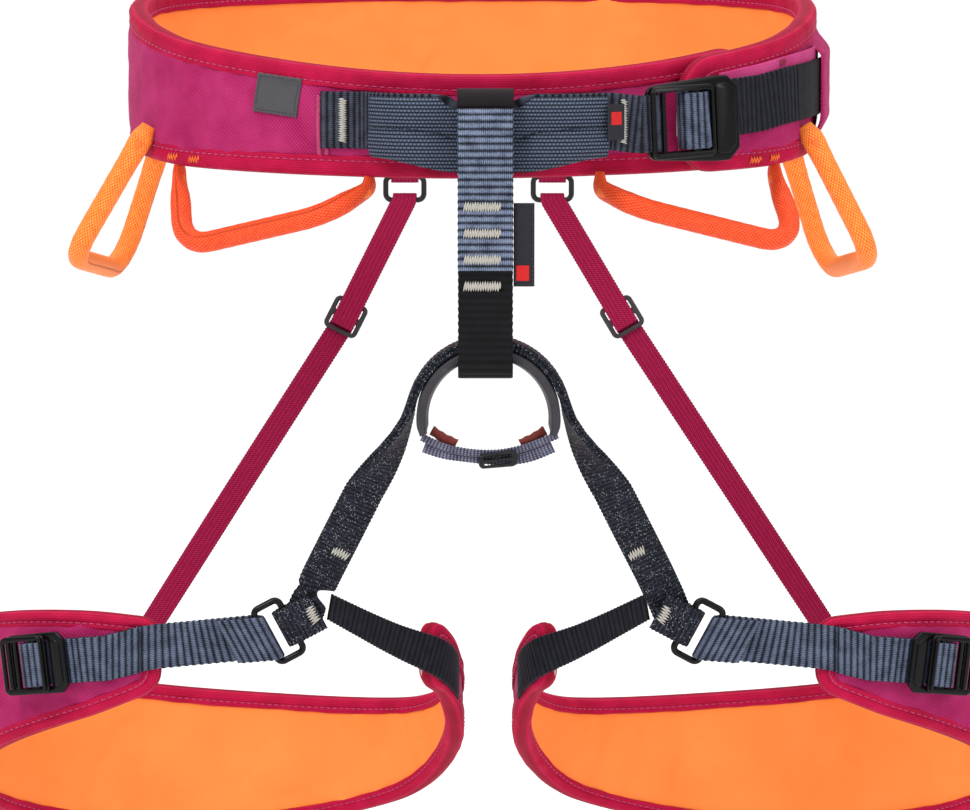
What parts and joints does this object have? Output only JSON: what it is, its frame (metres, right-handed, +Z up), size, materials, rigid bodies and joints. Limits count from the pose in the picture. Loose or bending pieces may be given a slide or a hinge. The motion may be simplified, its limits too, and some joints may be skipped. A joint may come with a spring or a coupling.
{
  "type": "climbing harness",
  "caption": "Padded climbing harness with waist belt, leg loops, belay loop, bridge ring, gear loops and elastic risers.",
  "frame": {"origin": "centre of the waist opening, in the middle of the belt's plan oval and at the mean height of its front edge", "axes": "+X towards the wearer's left, along the belt's long diameter and the row of the two leg loops; +Y towards the wearer's back, so the belay loop is at -Y; +Z up along the waist opening's axis"},
  "size_m": [0.4924, 0.2695, 0.4075],
  "materials": {
    "magenta_twill": "twill weave, slight sheen",
    "crimson_binding": "woven edge tape, stitched",
    "orange_lining": "smooth knitted lining",
    "pad_foam": "closed-cell foam",
    "load_webbing": "woven load webbing",
    "navy_webbing": "ribbed woven webbing",
    "canvas_sleeve": "coarse canvas weave",
    "bridge_webbing": "dense speckled webbing",
    "keeper_webbing": "thin woven strap",
    "bartack_thread": "cream zigzag stitching",
    "orange_thread": "orange zigzag stitching",
    "orange_sheath": "braided cord sheath",
    "loop_core": "semi-rigid cord core",
    "anodised_metal": "black anodised, polished edges",
    "ring_plastic": "moulded grey plastic",
    "black_plastic": "moulded black plastic",
    "riser_elastic": "fine woven elastic",
    "grey_label": "woven label, blank",
    "dark_label": "woven label, blank"
  },
  "bodies": {
    "waist_belt": {"waist_outer_shell": "magenta_twill", "waist_foam_core": "pad_foam", "waist_lining": "orange_lining", "waist_upper_binding": "crimson_binding", "waist_lower_binding": "crimson_binding", "load_webbing_upper": "load_webbing", "load_webbing_lower": "load_webbing", "tie_in_webbing": "navy_webbing", "tie_in_sleeve": "canvas_sleeve", "waist_strap": "navy_webbing", "strap_keeper": "magenta_twill", "waist_buckle_base": "anodised_metal", "waist_label_patch": "grey_label", "sleeve_tag": "dark_label", "waist_bartacks": "bartack_thread", "gear_loop_bartacks": "orange_thread", "riser_tab_right": "magenta_twill", "riser_tab_left": "magenta_twill"},
    "waist_buckle_slider": {"waist_buckle_slider": "anodised_metal"},
    "belay_loop": {"belay_loop": "navy_webbing", "belay_bartacks": "bartack_thread"},
    "indicator_label": {"indicator_label": "dark_label"},
    "leg_bridge": {"bridge_webbing": "bridge_webbing", "abrasion_protector": "ring_plastic", "ring_keeper_strap": "keeper_webbing", "bridge_bartacks": "bartack_thread"},
    "ring_keeper_buckle": {"ring_keeper_buckle": "black_plastic"},
    "leg_loop_right": {"leg_outer_shell_right": "magenta_twill", "leg_foam_core_right": "pad_foam", "leg_lining_right": "orange_lining", "leg_binding_right": "crimson_binding", "leg_strap_right": "navy_webbing", "rect_ring_right": "anodised_metal", "leg_buckle_base_right": "anodised_metal", "leg_inner_strap_right": "navy_webbing"},
    "leg_buckle_slider_right": {"leg_buckle_slider_right": "anodised_metal"},
    "riser_right": {"riser_strap_right": "riser_elastic"},
    "riser_slider_right": {"riser_slider_right": "black_plastic"},
    "riser_ring_right": {"riser_ring_right": "black_plastic"},
    "gear_loop_front_right": {"gear_loop_front_right_sheath": "orange_sheath", "gear_loop_front_right_core": "loop_core"},
    "gear_loop_rear_right": {"gear_loop_rear_right_sheath": "orange_sheath", "gear_loop_rear_right_core": "loop_core"},
    "leg_loop_left": {"leg_outer_shell_left": "magenta_twill", "leg_foam_core_left": "pad_foam", "leg_lining_left": "orange_lining", "leg_binding_left": "crimson_binding", "leg_strap_left": "navy_webbing", "rect_ring_left": "anodised_metal", "leg_buckle_base_left": "anodised_metal", "leg_inner_strap_left": "navy_webbing"},
    "leg_buckle_slider_left": {"leg_buckle_slider_left": "anodised_metal"},
    "riser_left": {"riser_strap_left": "riser_elastic"},
    "riser_slider_left": {"riser_slider_left": "black_plastic"},
    "riser_ring_left": {"riser_ring_left": "black_plastic"},
    "gear_loop_front_left": {"gear_loop_front_left_sheath": "orange_sheath", "gear_loop_front_left_core": "loop_core"},
    "gear_loop_rear_left": {"gear_loop_rear_left_sheath": "orange_sheath", "gear_loop_rear_left_core": "loop_core"}
  },
  "joints": [
    {"name": "leg_swing", "type": "hinge", "parent": "waist_belt", "child": "leg_bridge", "pos_m": [0.0002, -0.136, -0.0163], "axis": [1, 0, 0], "range_deg": [-15, 10], "stiffness_Nm_per_rad": 6, "deforming": ["riser_strap_right", "riser_strap_left"]},
    {"name": "belay_swing", "type": "hinge", "parent": "waist_belt", "child": "belay_loop", "pos_m": [0.0002, -0.136, -0.0163], "axis": [1, 0, 0], "range_deg": [-15, 10]},
    {"name": "indicator_flap", "type": "hinge", "parent": "belay_loop", "child": "indicator_label", "pos_m": [0.0123, -0.1488, -0.066], "axis": [0, 0, 1], "range_deg": [-25, 25], "stiffness_Nm_per_rad": 0.0005},
    {"name": "keeper_buckle_slide", "type": "slide", "parent": "leg_bridge", "child": "ring_keeper_buckle", "axis": [1, 0, 0], "range_m": [-0.003, 0.003], "stiffness_N_per_m": 200},
    {"name": "waist_buckle_slide", "type": "slide", "parent": "waist_belt", "child": "waist_buckle_slider", "axis": [-0.9079, -0.416, -0.0523], "range_m": [0, 0.002]},
    {"name": "leg_turn_right", "type": "hinge", "parent": "leg_bridge", "child": "leg_loop_right", "pos_m": [-0.086, -0.103, -0.2379], "axis": [-0.4423, 0.8521, -0.2799], "range_deg": [-8, 8], "stiffness_Nm_per_rad": 4},
    {"name": "leg_buckle_slide_right", "type": "slide", "parent": "leg_loop_right", "child": "leg_buckle_slider_right", "axis": [0.8541, -0.5012, 0.1386], "range_m": [0, 0.002]},
    {"name": "riser_follow_right", "type": "hinge", "parent": "waist_belt", "child": "riser_right", "pos_m": [0.0002, -0.136, -0.0163], "axis": [1, 0, 0], "range_deg": [-2.2, 1.53]},
    {"name": "riser_slider_slide_right", "type": "slide", "parent": "riser_right", "child": "riser_slider_right", "axis": [0.4454, 0.1889, 0.8752], "range_m": [0, 0.02]},
    {"name": "riser_ring_tilt_right", "type": "hinge", "parent": "waist_belt", "child": "riser_ring_right", "pos_m": [-0.0387, 0.114, -0.052], "axis": [1, 0, 0], "range_deg": [-10, 10], "stiffness_Nm_per_rad": 0.01},
    {"name": "gear_loop_swing_front_right", "type": "hinge", "parent": "waist_belt", "child": "gear_loop_front_right", "pos_m": [-0.13659, -0.06369, -0.04159], "axis": [-0.8948, 0.4454, 0.0313], "range_deg": [-10, 35], "stiffness_Nm_per_rad": 0.08},
    {"name": "gear_loop_swing_rear_right", "type": "hinge", "parent": "waist_belt", "child": "gear_loop_rear_right", "pos_m": [-0.15421, -0.05675, -0.0255], "axis": [0.0146, 0.9917, -0.1274], "range_deg": [-8, 35], "stiffness_Nm_per_rad": 0.08},
    {"name": "leg_turn_left", "type": "hinge", "parent": "leg_bridge", "child": "leg_loop_left", "pos_m": [0.089, -0.103, -0.2379], "axis": [0.4423, 0.8521, -0.2799], "range_deg": [-8, 8], "stiffness_Nm_per_rad": 4},
    {"name": "leg_buckle_slide_left", "type": "slide", "parent": "leg_loop_left", "child": "leg_buckle_slider_left", "axis": [-0.8541, -0.5012, 0.1386], "range_m": [0, 0.002]},
    {"name": "riser_follow_left", "type": "hinge", "parent": "waist_belt", "child": "riser_left", "pos_m": [0.0002, -0.136, -0.0163], "axis": [1, 0, 0], "range_deg": [-2.29, 1.59]},
    {"name": "riser_slider_slide_left", "type": "slide", "parent": "riser_left", "child": "riser_slider_left", "axis": [-0.5075, 0.1818, 0.8423], "range_m": [0, 0.02]},
    {"name": "riser_ring_tilt_left", "type": "hinge", "parent": "waist_belt", "child": "riser_ring_left", "pos_m": [0.0325, 0.114, -0.052], "axis": [1, 0, 0], "range_deg": [-10, 10], "stiffness_Nm_per_rad": 0.01},
    {"name": "gear_loop_swing_front_left", "type": "hinge", "parent": "waist_belt", "child": "gear_loop_front_left", "pos_m": [0.12956, -0.06042, -0.04159], "axis": [-0.8669, -0.4974, -0.0329], "range_deg": [-10, 35], "stiffness_Nm_per_rad": 0.08},
    {"name": "gear_loop_swing_rear_left", "type": "hinge", "parent": "waist_belt", "child": "gear_loop_rear_left", "pos_m": [0.14729, -0.05054, -0.0255], "axis": [0.0518, -0.9888, 0.1399], "range_deg": [-8, 35], "stiffness_Nm_per_rad": 0.08}
  ],
  "couplings": [
    {"joint": "belay_swing", "follows": "leg_swing", "ratio": 1},
    {"joint": "riser_follow_right", "follows": "leg_swing", "ratio": 0.1332},
    {"joint": "riser_follow_left", "follows": "leg_swing", "ratio": 0.139}
  ]
}
